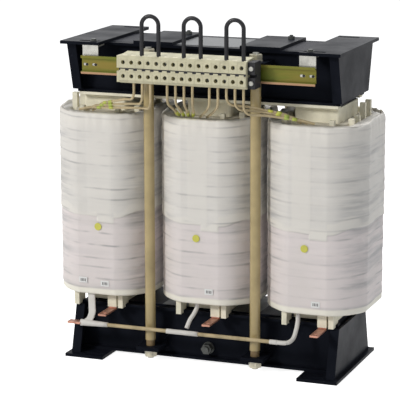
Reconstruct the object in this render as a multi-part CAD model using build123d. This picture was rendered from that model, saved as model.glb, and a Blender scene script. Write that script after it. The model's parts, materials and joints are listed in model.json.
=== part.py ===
from build123d import *
import math
import os

os.makedirs("parts", exist_ok=True)

# Three-phase dry-type transformer, millimetres, +Z up, front is -Y.

# frame
foot_width = 80.0
foot_half_depth = 126.0
plate_t = 6.0
total_height = 627.0            # floor to the top of the end plates
wall_inset = 8.0                # end wall set in from the edge of its foot
wall_height = 92.0
wall_base_half = 112.0
wall_tip_half = 87.0
wall_fold = 12.0                # folded edge of the end wall
slot_length = 44.0
slot_width = 10.0
slot_in = 55.0                  # slot centre from the end of its plate
slot_edge = 18.0                # slot centre from the front edge of its plate
cross_half_depth = 78.0

# clamp channels
clamp_t = 5.0
clamp_height = 98.0
clamp_lip = 17.0                # outside width of a channel lip
board_t = 2.0                   # board between the yoke and its clamp

# core
phase_pitch = 216.0
limb_width = 80.0
stack_depth = 116.0
yoke_height = 100.0
core_end_gap = 10.0             # end wall past the outer limb

# coils
former_gap = 1.0
former_t = 3.0
former_over = 29.0              # former stands above the winding
lv_gap = 1.0
lv_t = 15.0
duct = 11.0
coil_half_x = 99.0
coil_half_y = 113.0
coil_radius = 62.0
coil_lift = 22.0                # winding above the lower yoke
coil_head = 33.0                # winding below the upper yoke
wrap_t = 1.5                    # extra wrap round the upper half
wrap_start = 160.0              # lower edge of that wrap above the winding's foot
rim_radius = 9.0
stick_w = 9.0
stick_over = 9.0
stick_tall = 29.0               # sticks that run up to the clamp
block_w = 10.0
block_front = 93.0
block_drop = 5.0
block_gap = 1.0
block_left = 52.0               # blocks from the middle of their coil
block_right = 41.0

# tie rods
rod_x = 108.0
rod_y = 100.0
tube_r = 10.0
tube_bore_r = 6.6
stud_r = 6.0
tab_level = 25.0                # underside of the lower tab
tab_t = 8.0
tab_width = 46.0
tab_reach = 118.0
tab_leg = 34.0
collar_r = 8.5
collar_h = 12.0
nut_af = 22.0
nut_h = 11.0
washer_r = 13.0
washer_t = 2.5
small_bolt_x = 17.0
yoke_bolt_z = 29.0
yoke_bolt_r = 7.0
yoke_washer_r = 12.0
yoke_washer_t = 3.0
yoke_nut_af = 19.0
yoke_nut_h = 12.0
yoke_bolt_end = 5.0

# terminal rail
rail_over = 17.0                # rail past the middle of its bracket
rail_width = 35.0
rail_depth = 7.5
rail_t = 1.0
rail_crown = 25.0
rail_drop = 37.0                # rail centre below the end plates
rail_back = 125.0
bracket_w = 32.0
bracket_t = 3.0
bracket_shift = 8.0             # bracket inward of its slot's centre
bracket_foot = 30.0

# terminals
terminal_count = 15
terminal_pitch = 16.8
terminal_gap = 0.3
terminal_first = -128.5
terminal_front = 175.0
terminal_up = 26.0              # block above and below the rail's centre
terminal_down = 24.0
terminal_rise = 5.0
hole_r = 3.9
hole_up = 12.5
hole_down = 13.5
end_clamp_w = 9.0

# cords
jumper_r = 4.0
jumper_rise = 80.0              # top of a loop above the blocks
cord_y = 163.0
lead_r = 2.4
lead_bend = 18.0
lead_end_y = 97.0
lead_end_gap = 2.8
lead_level = 40.0               # first lead of a loom above the windings
lead_step = 8.0
star_r = 3.6
star_y = 121.0
star_drop = 57.0                # star bar below the windings
star_left = 246.0
star_right = 150.0
tap_r = 4.4
tap_wide_r = 7.0
tap_y = 96.0
palm_length = 27.0
palm_width = 16.0
palm_t = 4.0
flag_x = 23.0                   # copper flag from the middle of its coil
flag_width = 16.0
flag_t = 3.5
flag_drop = 34.0
flag_front = 142.0
flag_hole_r = 4.5
flag_hole_edge = 11.0
wrap_width = 18.0
wrap_depth = 8.0

frame_half = phase_pitch + limb_width / 2 + core_end_gap
wall_x = frame_half + plate_t
foot_half_span = wall_x + wall_inset
slot_x = foot_half_span - slot_in
bracket_x = slot_x - bracket_shift
rail_half = bracket_x + rail_over
yoke_low = plate_t
yoke_high = total_height - plate_t
half_stack = stack_depth / 2
clamp_in = half_stack + board_t
clamp_out = clamp_in + clamp_t
clamp_edge = clamp_in + clamp_lip
limb_bottom = yoke_low + yoke_height
limb_top = yoke_high - yoke_height
coil_bottom = limb_bottom + coil_lift
coil_top = limb_top - coil_head
wrap_bottom = coil_bottom + wrap_start
rail_z = yoke_high - rail_drop
terminal_top = rail_z + terminal_up
terminal_bottom = rail_z - terminal_down
jumper_apex = terminal_top + jumper_rise
star_z = coil_bottom - star_drop
coil_xs = (-phase_pitch, 0.0, phase_pitch)
coil_names = ("left", "middle", "right")
former_x = limb_width / 2 + former_gap + former_t
former_y = half_stack + former_gap + former_t
lv_x, lv_y = former_x + lv_gap + lv_t, former_y + lv_gap + lv_t
hv_x, hv_y = lv_x + duct, lv_y + duct


def save(node, shape):
    export_step(shape, f"parts/{node}.step")


def box(x0, x1, y0, y1, z0, z1):
    return Pos((x0 + x1) / 2, (y0 + y1) / 2, (z0 + z1) / 2) * Box(abs(x1 - x0), abs(y1 - y0), abs(z1 - z0))


def cylinder(x, y, z0, z1, r):
    return Pos(x, y, (z0 + z1) / 2) * Cylinder(r, z1 - z0)


def across(x, z, y0, y1, r):
    return Pos(x, (y0 + y1) / 2, z) * Rot(90, 0, 0) * Cylinder(r, abs(y1 - y0))


def flip(shape):
    """The upper frame is the lower one turned upside down."""
    return shape.mirror(Plane.XY.offset(total_height / 2))


def back(shape):
    return shape.mirror(Plane.XZ)


def other_side(shape):
    return shape.mirror(Plane.YZ)


def ring(x, hx, hy, r, ix, iy, ir, z0, z1):
    outer = extrude(Pos(x, 0, z0) * RectangleRounded(2 * hx, 2 * hy, r), z1 - z0)
    inner = extrude(Pos(x, 0, z0) * RectangleRounded(2 * ix, 2 * iy, ir), z1 - z0)
    return outer - inner


def hex_prism(x, y, z0, z1, af):
    return extrude(Pos(x, y, z0) * RegularPolygon(af / 2, 6, major_radius=False), z1 - z0)


def cord(points, radii, r):
    """Straight runs joined by tangent arcs, swept with a round section."""
    edges, here = [], Vector(*points[0])
    for k in range(1, len(points) - 1):
        a, b, c = (Vector(*p) for p in points[k - 1:k + 2])
        u, v = (b - a).normalized(), (c - b).normalized()
        half = math.radians(u.get_angle(v)) / 2
        cut = radii[k - 1] * math.tan(half)
        p, q = b - u * cut, b + v * cut
        edges += [Line(here, p), TangentArc(p, q, tangent=u)]
        here = q
    edges.append(Line(here, Vector(*points[-1])))
    path = Wire(edges)
    plane = Plane(origin=Vector(*points[0]), z_dir=path % 0)
    return sweep(plane * Circle(r), path=path, transition=Transition.ROUND), path


def bend_radii(points, want):
    """Wanted radius at each corner, held to 0.45 of the shorter run over tan(half turn)."""
    out = []
    for k in range(1, len(points) - 1):
        a, b, c = (Vector(*p) for p in points[k - 1:k + 2])
        half = math.radians((b - a).get_angle(c - b)) / 2
        out.append(min(want, 0.45 * min((b - a).length, (c - b).length) / math.tan(half)))
    return out


def run(name, points, r, want):
    radii = bend_radii(points, want)
    solid, path = cord(points, radii, r)
    section = math.pi * r * r * path.length
    print(f"{name}: length {path.length:.1f}, radii {[round(v, 1) for v in radii]}, "
          f"volume {solid.volume:.0f} of {section:.0f}")
    return solid


# ---- core ----
def core():
    for name, x in zip(coil_names, coil_xs):
        limb = box(x - limb_width / 2, x + limb_width / 2, -half_stack, half_stack, limb_bottom, limb_top)
        save(f"core_limb_{name}", limb)
    half = phase_pitch + limb_width / 2
    low = box(-half, half, -half_stack, half_stack, yoke_low, limb_bottom)
    low -= across(0, yoke_bolt_z, -half_stack, half_stack, yoke_bolt_r)
    save("lower_yoke", low)
    save("upper_yoke", box(-half, half, -half_stack, half_stack, limb_top, yoke_high))


# ---- frame ----
def end_frame():
    """Right lower end: foot plate, trapezoid wall and its folded edges."""
    foot = box(foot_half_span - foot_width, foot_half_span, -foot_half_depth, foot_half_depth, 0, plate_t)
    for s in (-1, 1):
        y = s * (foot_half_depth - slot_edge)
        foot -= extrude(Pos(slot_x, y, 0) * SlotOverall(slot_length, slot_width), plate_t)
    b, t, h = wall_base_half, wall_tip_half, wall_height
    face = Plane(origin=(frame_half, 0, plate_t), x_dir=(0, 1, 0), z_dir=(1, 0, 0))
    wall = extrude(face * make_face(Polyline((-b, 0), (b, 0), (t, h), (-t, h), close=True)), plate_t)
    fold_face = Plane(origin=(frame_half - wall_fold, 0, plate_t), x_dir=(0, 1, 0), z_dir=(1, 0, 0))
    end = foot + wall
    for s in (-1, 1):
        lip = Polyline((s * b, 0), (s * t, h), (s * (t - 4), h), (s * (b - 4), 0), close=True)
        end += extrude(fold_face * make_face(lip), wall_fold)
    return end


def clamp_channel():
    """Lower front clamp: folded channel with its lips outward."""
    z0, z1 = yoke_low, yoke_low + clamp_height
    i, o, e, t = clamp_in, clamp_out, clamp_edge, clamp_t
    pts = [(-i, z0), (-e, z0), (-e, z0 + t), (-o, z0 + t), (-o, z1 - t), (-e, z1 - t), (-e, z1), (-i, z1)]
    face = Plane(origin=(-frame_half, 0, 0), x_dir=(0, 1, 0), z_dir=(1, 0, 0))
    body = extrude(face * make_face(Polyline(*pts, close=True)), 2 * frame_half)
    corners = [ed for ed in body.edges().filter_by(Axis.X) if abs(abs(ed.center().Y) - i) < 0.1]
    return fillet(corners, 3.0)


def frame():
    right = end_frame()
    left = other_side(right)
    save("lower_end_right", right)
    save("lower_end_left", left)
    save("upper_end_right", flip(right))
    save("upper_end_left", flip(left))
    channel = clamp_channel()
    drilled = channel - across(0, yoke_bolt_z, -clamp_edge, -clamp_in, yoke_bolt_r)
    save("lower_clamp_front", drilled)
    save("lower_clamp_rear", back(drilled))
    save("upper_clamp_front", flip(channel))
    save("upper_clamp_rear", back(flip(channel)))
    half = phase_pitch + limb_width / 2
    board = box(-half, half, -clamp_in, -half_stack, yoke_low, limb_bottom)
    drilled_board = board - across(0, yoke_bolt_z, -clamp_in, -half_stack, yoke_bolt_r)
    save("lower_yoke_boards", Compound([drilled_board, back(drilled_board)]))
    save("upper_yoke_boards", Compound([flip(board), back(flip(board))]))
    plates = [box(s * rod_x - foot_width / 2, s * rod_x + foot_width / 2, -cross_half_depth,
                  cross_half_depth, yoke_high, total_height) for s in (-1, 1)]
    save("cross_plate_left", plates[0])
    save("cross_plate_right", plates[1])
    z1 = total_height - plate_t - clamp_height
    strip = box(-frame_half + 4, frame_half - 4, -clamp_edge - 3, -clamp_in, z1 - 5, z1)
    save("clamp_strip_front", strip)
    save("clamp_strip_rear", back(strip))


# ---- coils ----
def winding_body(x):
    """Taped winding: the upper half carries one more wrap."""
    height = coil_top - coil_bottom
    bore = extrude(Pos(x, 0, coil_bottom) * RectangleRounded(2 * hv_x, 2 * hv_y, 28), height)
    low = RectangleRounded(2 * coil_half_x, 2 * coil_half_y, coil_radius)
    low = extrude(Pos(x, 0, coil_bottom) * low, wrap_bottom + 20 - coil_bottom)
    low = fillet(low.edges().group_by(Axis.Z)[0], rim_radius)
    wide = RectangleRounded(2 * (coil_half_x + wrap_t), 2 * (coil_half_y + wrap_t), coil_radius + wrap_t)
    wide = extrude(Pos(x, 0, wrap_bottom) * wide, coil_top - wrap_bottom)
    wide = fillet(wide.edges().group_by(Axis.Z)[-1], rim_radius)
    return low + wide - bore


def sticks(x):
    """Duct spacers between the two windings; at the ends of the core some run up to the clamp."""
    out = []
    cx, cy = lv_x + duct / 2, lv_y + duct / 2
    spots = []
    for side in (-1, 1):
        for y in (-54, -18, 18, 54):
            tall = (side < 0 and x < 0) or (side > 0 and x > 0 and y > 0)
            spots.append((side * cx, y, duct - 0.4, stick_w, stick_tall if tall else stick_over))
        for dx in (-37, 37):
            spots.append((dx, side * cy, stick_w, duct - 0.4, stick_over))
    for dx, y, wx, wy, over in spots:
        out.append(box(x + dx - wx / 2, x + dx + wx / 2, y - wy / 2, y + wy / 2,
                       coil_bottom + 2, coil_top + over))
    return out


def support_blocks(x):
    """Notched boards that carry the windings on the lower clamp lips."""
    top_lip = yoke_low + clamp_height
    inner = -former_y - block_gap
    face = Plane(origin=(0, 0, 0), x_dir=(0, 1, 0), z_dir=(1, 0, 0))
    pts = [(-block_front, top_lip - block_drop), (-clamp_edge - 1, top_lip - block_drop),
           (-clamp_edge - 1, top_lip), (inner, top_lip), (inner, coil_bottom), (-block_front, coil_bottom)]
    one = extrude(face * make_face(Polyline(*pts, close=True)), block_w / 2, both=True)
    both = [Pos(x + dx, 0, 0) * one for dx in (-block_left, block_right)]
    return both + [back(b) for b in both]


def coils():
    for name, x in zip(coil_names, coil_xs):
        ix, iy = limb_width / 2 + former_gap, half_stack + former_gap
        former = ring(x, former_x, former_y, 5, ix, iy, 1, limb_bottom + 1, coil_top + former_over)
        save(f"former_{name}", former)
        lv = ring(x, lv_x, lv_y, 18, former_x + lv_gap, former_y + lv_gap, 6, coil_bottom, coil_top)
        save(f"inner_winding_{name}", lv)
        save(f"outer_winding_{name}", winding_body(x))
    save("duct_sticks", Compound([s for x in coil_xs for s in sticks(x)]))
    save("support_blocks", Compound([b for x in coil_xs for b in support_blocks(x)]))


# ---- tie rods ----
def rod_spots():
    return [(sx * rod_x, sy * rod_y) for sx in (-1, 1) for sy in (-1, 1)]


def tab():
    """Lower front right angle tab, bolted to the web of the clamp."""
    top = tab_level + tab_t
    foot = box(rod_x - tab_width / 2, rod_x + tab_width / 2, -tab_reach, -clamp_out, tab_level, top)
    leg = box(rod_x - tab_width / 2, rod_x + tab_width / 2, -clamp_out - tab_t, -clamp_out, tab_level,
              tab_level + tab_leg)
    hole = cylinder(rod_x, -rod_y, tab_level, top, stud_r + 0.5)
    return foot + leg - hole


def tie_rods():
    low = tab()
    tabs = [low, other_side(low), back(low), other_side(back(low))]
    save("rod_tabs_lower", Compound(tabs))
    save("rod_tabs_upper", Compound([flip(t) for t in tabs]))
    bottom, top = tab_level - nut_h - 6, total_height - tab_level + nut_h + 6
    foot = tab_level + tab_t
    head = total_height - foot
    studs, tubes, collars, nuts, washers = [], [], [], [], []
    for x, y in rod_spots():
        studs.append(cylinder(x, y, bottom, top, stud_r))
        tube = cylinder(x, y, foot + collar_h, head - collar_h, tube_r)
        tubes.append(tube - cylinder(x, y, foot, head, tube_bore_r))
        for z in (foot, head - collar_h):
            ring_part = cylinder(x, y, z, z + collar_h, collar_r)
            collars.append(ring_part - cylinder(x, y, z, z + collar_h, tube_bore_r))
        for z, s in ((tab_level, -1), (total_height - tab_level, 1)):
            a, b = sorted((z, z + s * washer_t))
            washers.append(cylinder(x, y, a, b, washer_r) - cylinder(x, y, a, b, stud_r + 0.3))
            a, b = sorted((z + s * washer_t, z + s * (washer_t + nut_h)))
            nuts.append(hex_prism(x, y, a, b, nut_af) - cylinder(x, y, a, b, stud_r + 0.05))
    save("tie_studs", Compound(studs))
    save("tie_tubes", Compound(tubes))
    save("tie_collars", Compound(collars))
    save("tie_washers", Compound(washers))
    save("tie_nuts", Compound(nuts))
    z = tab_level + tab_t + (tab_leg - tab_t) / 2
    leg = -clamp_out - tab_t
    bolts = []
    for s in (-1, 1):
        x = rod_x + s * small_bolt_x
        face = Plane(origin=(x, leg, z), x_dir=(1, 0, 0), z_dir=(0, -1, 0))
        bolts.append(extrude(face * RegularPolygon(5, 6, major_radius=False), 4.5))
    row = [b for g in bolts for b in (g, other_side(g), back(g), other_side(back(g)))]
    save("tab_bolts", Compound(row + [flip(b) for b in row]))


def yoke_bolt():
    face_y = clamp_out + yoke_washer_t
    reach = face_y + yoke_nut_h + yoke_bolt_end
    bolt = across(0, yoke_bolt_z, -reach, reach, yoke_bolt_r - 0.6)
    save("yoke_bolt", bolt)
    hole = across(0, yoke_bolt_z, -reach, reach, yoke_bolt_r - 0.55)
    washers, nuts = [], []
    for s in (-1, 1):
        washers.append(across(0, yoke_bolt_z, s * clamp_out, s * face_y, yoke_washer_r) - hole)
        face = Plane(origin=(0, s * face_y, yoke_bolt_z), x_dir=(1, 0, 0), z_dir=(0, s, 0))
        nuts.append(extrude(face * RegularPolygon(yoke_nut_af / 2, 6, major_radius=False), yoke_nut_h) - hole)
    save("yoke_bolt_washers", Compound(washers))
    save("yoke_bolt_nuts", Compound(nuts))


# ---- rail ----
def rail():
    w, c, d, t = rail_width / 2, rail_crown / 2, rail_depth, rail_t
    pts = [(-w, d), (-c, d), (-c, t), (c, t), (c, d), (w, d), (w, d - t), (c + t, d - t),
           (c + t, 0), (-c - t, 0), (-c - t, d - t), (-w, d - t)]
    face = Plane(origin=(-rail_half, -rail_back, rail_z), x_dir=(0, 0, 1), z_dir=(1, 0, 0))
    body = extrude(face * make_face(Polyline(*pts, close=True)), 2 * rail_half)
    for x in (-rail_half + 8, -rail_half + 26, rail_half - 8, rail_half - 26):
        slot = Plane(origin=(x, -rail_back - rail_t - 2, rail_z), x_dir=(1, 0, 0), z_dir=(0, 1, 0))
        body -= extrude(slot * SlotOverall(11, 5), rail_t + 4)
    save("din_rail", body)


def rail_brackets():
    """Bent straps hung from the end plates."""
    t, y0 = bracket_t, -rail_back
    under = yoke_high
    out = []
    for s in (-1, 1):
        x0, x1 = s * bracket_x - bracket_w / 2, s * bracket_x + bracket_w / 2
        strap = box(x0, x1, y0, y0 + t, rail_z - rail_crown / 2, under)
        strap += box(x0, x1, y0, y0 + bracket_foot, under - t, under)
        hole_y = -foot_half_depth + slot_edge
        strap -= cylinder(s * bracket_x, hole_y, under - t, under, 2.6)
        out.append(strap)
    save("rail_bracket_left", out[0])
    save("rail_bracket_right", out[1])
    screws = []
    y = -foot_half_depth + slot_edge
    for s in (-1, 1):
        x = s * bracket_x
        head = cylinder(x, y, total_height + 1.2, total_height + 4.2, 5) + \
            cylinder(x, y, total_height, total_height + 1.2, 7)
        shank = cylinder(x, y, under - t - 3, total_height + 1, 2.5)
        screws.append(head + shank)
    save("rail_screws", Compound(screws))


# ---- terminals ----
def terminal_block():
    """One terminal, its middle at x = 0."""
    back_y = -rail_back - rail_depth - 0.2
    f, z1, z0 = -terminal_front, terminal_top, terminal_bottom
    mid = rail_z + 3
    pts = [(back_y, z1 + terminal_rise), (f + 6, z1 + 1), (f, z1 - 4), (f, mid + 2), (f + 2, mid), (f, mid - 2),
           (f, z0 + 6), (f + 6, z0), (back_y, z0)]
    face = Plane(origin=(0, 0, 0), x_dir=(0, 1, 0), z_dir=(1, 0, 0))
    body = extrude(face * make_face(Polyline(*pts, close=True)), (terminal_pitch - terminal_gap) / 2, both=True)
    for z in (mid + hole_up, mid - hole_down):
        body -= across(0, z, f - 1, f + 14, hole_r)
    body -= cylinder(0, -cord_y, z0 - 1, z0 + 12, lead_r + 0.6)
    body -= cylinder(0, -cord_y, z1 - 12, z1 + 8, jumper_r + 0.3)
    marker = box(-5.5, 5.5, f - 0.8, f + 1, mid - 5.5, mid - 2.5)
    return body + marker


def terminals():
    block = terminal_block()
    row = [Pos(terminal_first + k * terminal_pitch, 0, 0) * block for k in range(terminal_count)]
    save("terminal_blocks", Compound(row))
    x0 = terminal_first - terminal_pitch / 2
    x1 = terminal_first + (terminal_count - 0.5) * terminal_pitch
    y1 = -rail_back - rail_depth - 0.2
    for name, a, w in (("left", x0 - end_clamp_w, end_clamp_w), ("right", x1, end_clamp_w * 1.6)):
        clamp = box(a + 0.3, a + w - 0.3, y1 - 32, y1, rail_z - 24, rail_z + 26)
        clamp -= box(a - 1, a + w + 1, y1 - 33, y1 - 20, rail_z - 3, rail_z + 3)
        save(f"end_clamp_{name}", clamp)
    screws = []
    a = x1 + end_clamp_w * 0.8
    for z in (rail_z + 14, rail_z - 13):
        screws.append(across(a, z, y1 - 32, y1 - 35, 4.2) - box(a - 5, a + 5, y1 - 35.1, y1 - 34, z - 0.6, z + 0.6))
    save("end_clamp_screws", Compound(screws))


# ---- cords ----
def term_x(k):
    return terminal_first + (k - 1) * terminal_pitch


def jumpers():
    """Black wire loops, each bent to a half circle over two legs."""
    loops = []
    for n, (a, b) in enumerate(((3, 5), (8, 10), (13, 15))):
        xa, xb = term_x(a), term_x(b)
        arch = (xb - xa) / 2
        k = arch * math.tan(math.pi / 8)
        z0, top = terminal_top - 11, jumper_apex - jumper_r
        pts = [(xa, z0), (xa, top - arch + k), (xa + arch - k, top),
               (xb - arch + k, top), (xb, top - arch + k), (xb, z0)]
        loops.append(run(f"jumper_{n + 1}", [(x, -cord_y, z) for x, z in pts], jumper_r, arch))
    save("jumpers", Compound(loops))


def loom(name, terminals, ends, centre, turn):
    """Sleeved leads from the terminals' undersides over to the top of one winding."""
    z0 = terminal_bottom + 11
    out = []
    for n, (k, end) in enumerate(zip(terminals, ends)):
        x, goal = term_x(k), centre + end
        z = coil_top + lead_level - lead_step * n
        last = (goal, -lead_end_y, coil_top + lead_end_gap)
        if turn:
            pts = [(x, -cord_y, z0), (x, -cord_y, z), (x + turn * 30, -cord_y + 26 + 3 * n, z - 5),
                   (goal - turn * 26, -lead_end_y - 15 + 3 * n, coil_top + 20 - 5 * n), last]
        else:
            pts = [(x, -cord_y, z0), (x, -cord_y, coil_top + 36), ((x + goal) / 2, -lead_end_y - 29, coil_top + 18), last]
        out.append(run(f"lead_{name}_{n + 1}", pts, lead_r, lead_bend))
    save(f"leads_{name}", Compound(out))


def leads():
    loom("left", (2, 3, 4), (-10, -24, -38), -phase_pitch, -1)
    loom("middle", (6, 7, 8, 9, 11, 12), (-46, -37, -28, -19, -4, 10), 0, 0)
    loom("right", (13, 14, 15), (-19, -7, 7), phase_pitch, 1)


def phase_leads():
    """Bare copper flags under the coils, with the wrapped part behind them."""
    wraps, flags = [], []
    back_y = -hv_y + 5
    front_y = back_y - wrap_depth
    low = coil_bottom - flag_drop
    for x in coil_xs:
        cx = x + flag_x
        w, f = wrap_width / 2, flag_width / 2
        wraps.append(box(cx - w, cx + w, front_y, back_y, low + 6, coil_bottom - 0.2))
        bar = box(cx - f, cx + f, -flag_front, front_y + 3.5, low, low + flag_t)
        bar += box(cx - f, cx + f, front_y + 2.5, front_y + 6, low, low + 6)
        flags.append(bar - cylinder(cx, -flag_front + flag_hole_edge, low - 1, low + flag_t + 1, flag_hole_r))
    save("phase_wraps", Compound(wraps))
    save("phase_flags", Compound(flags))


def star_connection():
    """Neutral bar under the coils, with a tap up to each winding and a palm at the left."""
    y, z = -star_y, star_z
    bar = Pos((star_right - star_left) / 2, y, z) * Rot(0, 90, 0) * Cylinder(star_r, star_right + star_left)
    save("star_bar", bar)
    end = coil_bottom - 0.2
    right_x = phase_pitch - 24
    middle = [(-26, y + 1, z + star_r + tap_r), (-22, y + 16, z + 26), (-13, -tap_y, coil_bottom - 10), (-13, -tap_y, end)]
    left_x = -phase_pitch - 12
    left = [(left_x - 14, y + 1, z + star_r + tap_wide_r), (left_x, -tap_y - 2, z + 30), (left_x, -tap_y - 2, end)]
    right = [(star_right + 0.2, y, z), (right_x - 8, y, z), (right_x, -tap_y, coil_bottom - 16), (right_x, -tap_y, end)]
    taps = [run("star_tap_left", left, tap_wide_r, 20.0), run("star_tap_middle", middle, tap_r, 14.0),
            run("star_tap_right", right, tap_r, 14.0)]
    save("star_taps", Compound(taps))
    save("star_palm", box(-star_left - palm_length, -star_left - 0.2, y - palm_width / 2, y + palm_width / 2,
                          z - palm_t / 2, z + palm_t / 2))


core()
frame()
coils()
tie_rods()
yoke_bolt()
rail()
rail_brackets()
terminals()
jumpers()
leads()
phase_leads()
star_connection()
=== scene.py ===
import json
import math
import random
import bpy
import numpy as np
from mathutils import Matrix, Vector, noise


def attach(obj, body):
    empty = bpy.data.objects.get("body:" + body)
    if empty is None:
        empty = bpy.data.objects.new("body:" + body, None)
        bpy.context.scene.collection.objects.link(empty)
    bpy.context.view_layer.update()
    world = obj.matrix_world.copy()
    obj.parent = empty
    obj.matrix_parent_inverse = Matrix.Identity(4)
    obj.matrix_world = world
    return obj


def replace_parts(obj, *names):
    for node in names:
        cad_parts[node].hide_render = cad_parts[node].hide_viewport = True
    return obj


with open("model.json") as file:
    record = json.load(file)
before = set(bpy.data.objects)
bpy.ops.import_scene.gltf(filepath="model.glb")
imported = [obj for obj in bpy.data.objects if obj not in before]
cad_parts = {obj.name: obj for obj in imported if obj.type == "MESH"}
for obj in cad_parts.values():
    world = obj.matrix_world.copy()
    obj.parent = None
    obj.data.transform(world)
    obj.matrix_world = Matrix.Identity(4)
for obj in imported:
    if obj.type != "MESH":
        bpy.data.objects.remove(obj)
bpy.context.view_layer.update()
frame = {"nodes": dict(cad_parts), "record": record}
nodes = frame["nodes"]
slotOf = {part["node"]: part["material_slot"] for part in frame["record"]["subparts"]}
random.seed(7)
coilCentres = {"left": -0.216, "middle": 0.0, "right": 0.216}


# shader helpers
def newTree(material):
    material.use_nodes = True
    tree = material.node_tree
    tree.nodes.clear()
    return tree


def addNode(tree, kind, **values):
    node = tree.nodes.new(kind)
    for key, value in values.items():
        setattr(node, key, value)
    return node


def setIn(node, **values):
    for key, value in values.items():
        node.inputs[key.replace("_", " ")].default_value = value
    return node


def wire(tree, source, target):
    tree.links.new(source, target)


def mathNode(tree, operation, *values):
    node = addNode(tree, "ShaderNodeMath", operation=operation)
    for socket, value in zip(node.inputs, values):
        if isinstance(value, bpy.types.NodeSocket):
            wire(tree, value, socket)
        else:
            socket.default_value = value
    return node.outputs[0]


def mixColour(tree, factor, first, second):
    node = addNode(tree, "ShaderNodeMix", data_type="RGBA")
    wire(tree, factor, node.inputs[0])
    for socket, colour in ((node.inputs[6], first), (node.inputs[7], second)):
        if isinstance(colour, bpy.types.NodeSocket):
            wire(tree, colour, socket)
        else:
            socket.default_value = (*colour, 1.0)
    return node.outputs[2]


def ramp(tree, source, stops):
    node = addNode(tree, "ShaderNodeValToRGB")
    wire(tree, source, node.inputs[0])
    for element, (place, shade) in zip(node.color_ramp.elements, stops):
        element.position = place
        element.color = (shade, shade, shade, 1)
    return node.outputs[0]


def mapRange(tree, source, low, high):
    node = setIn(addNode(tree, "ShaderNodeMapRange"), To_Min=low, To_Max=high)
    wire(tree, source, node.inputs["Value"])
    return node.outputs[0]


def bump(tree, height, strength, distance):
    node = setIn(addNode(tree, "ShaderNodeBump"), Strength=strength, Distance=distance)
    wire(tree, height, node.inputs["Height"])
    return node.outputs["Normal"]


def objectCoords(tree):
    return addNode(tree, "ShaderNodeTexCoord").outputs["Object"]


# effects that several materials share
def groupShell(name, ins, outputName):
    group = bpy.data.node_groups.new(name, "ShaderNodeTree")
    for label, kind, value in ins:
        socket = group.interface.new_socket(label, in_out="INPUT", socket_type=kind)
        socket.default_value = value
    group.interface.new_socket(outputName, in_out="OUTPUT", socket_type="NodeSocketFloat")
    return group, group.nodes.new("NodeGroupInput"), group.nodes.new("NodeGroupOutput")


def makeDustGroup():
    ins = [("Scale", "NodeSocketFloat", 20.0), ("Amount", "NodeSocketFloat", 0.3)]
    group, gin, gout = groupShell("surfaceDust", ins, "Mask")
    cloud = setIn(addNode(group, "ShaderNodeTexNoise"), Detail=6.0, Roughness=0.6)
    wire(group, objectCoords(group), cloud.inputs["Vector"])
    wire(group, gin.outputs["Scale"], cloud.inputs["Scale"])
    shade = ramp(group, cloud.outputs["Fac"], [(0.38, 0.0), (0.72, 1.0)])
    wire(group, mathNode(group, "MULTIPLY", shade, gin.outputs["Amount"]), gout.inputs["Mask"])
    return group


def makeWeaveGroup():
    group, gin, gout = groupShell("tapeWeave", [("Scale", "NodeSocketFloat", 900.0)], "Height")
    coords = objectCoords(group)
    threads = []
    for direction in ("Z", "X"):
        wave = addNode(group, "ShaderNodeTexWave", bands_direction=direction)
        setIn(wave, Distortion=0.6, Detail=1.0)
        wire(group, coords, wave.inputs["Vector"])
        wire(group, gin.outputs["Scale"], wave.inputs["Scale"])
        threads.append(wave.outputs["Fac"])
    wire(group, mathNode(group, "ADD", *threads), gout.inputs["Height"])
    return group


def makeStreakGroup():
    ins = [("Stretch", "NodeSocketVector", (1.0, 1.0, 1.0)), ("Detail", "NodeSocketFloat", 3.0),
           ("Fineness", "NodeSocketFloat", 0.5)]
    group, gin, gout = groupShell("stretchedStreaks", ins, "Fac")
    stretch = addNode(group, "ShaderNodeMapping")
    wire(group, objectCoords(group), stretch.inputs["Vector"])
    wire(group, gin.outputs["Stretch"], stretch.inputs["Scale"])
    streak = setIn(addNode(group, "ShaderNodeTexNoise"), Scale=1.0)
    wire(group, stretch.outputs[0], streak.inputs["Vector"])
    wire(group, gin.outputs["Detail"], streak.inputs["Detail"])
    wire(group, gin.outputs["Fineness"], streak.inputs["Roughness"])
    wire(group, streak.outputs["Fac"], gout.inputs["Fac"])
    return group


dustGroup = makeDustGroup()
weaveGroup = makeWeaveGroup()
streakGroup = makeStreakGroup()


def useGroup(tree, group, **values):
    return setIn(addNode(tree, "ShaderNodeGroup", node_tree=group), **values).outputs[0]


def newSurface(name, **values):
    material = bpy.data.materials.new(name)
    tree = newTree(material)
    shader = setIn(addNode(tree, "ShaderNodeBsdfPrincipled"), **values)
    out = addNode(tree, "ShaderNodeOutputMaterial")
    wire(tree, shader.outputs[0], out.inputs[0])
    return material, tree, shader


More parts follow.
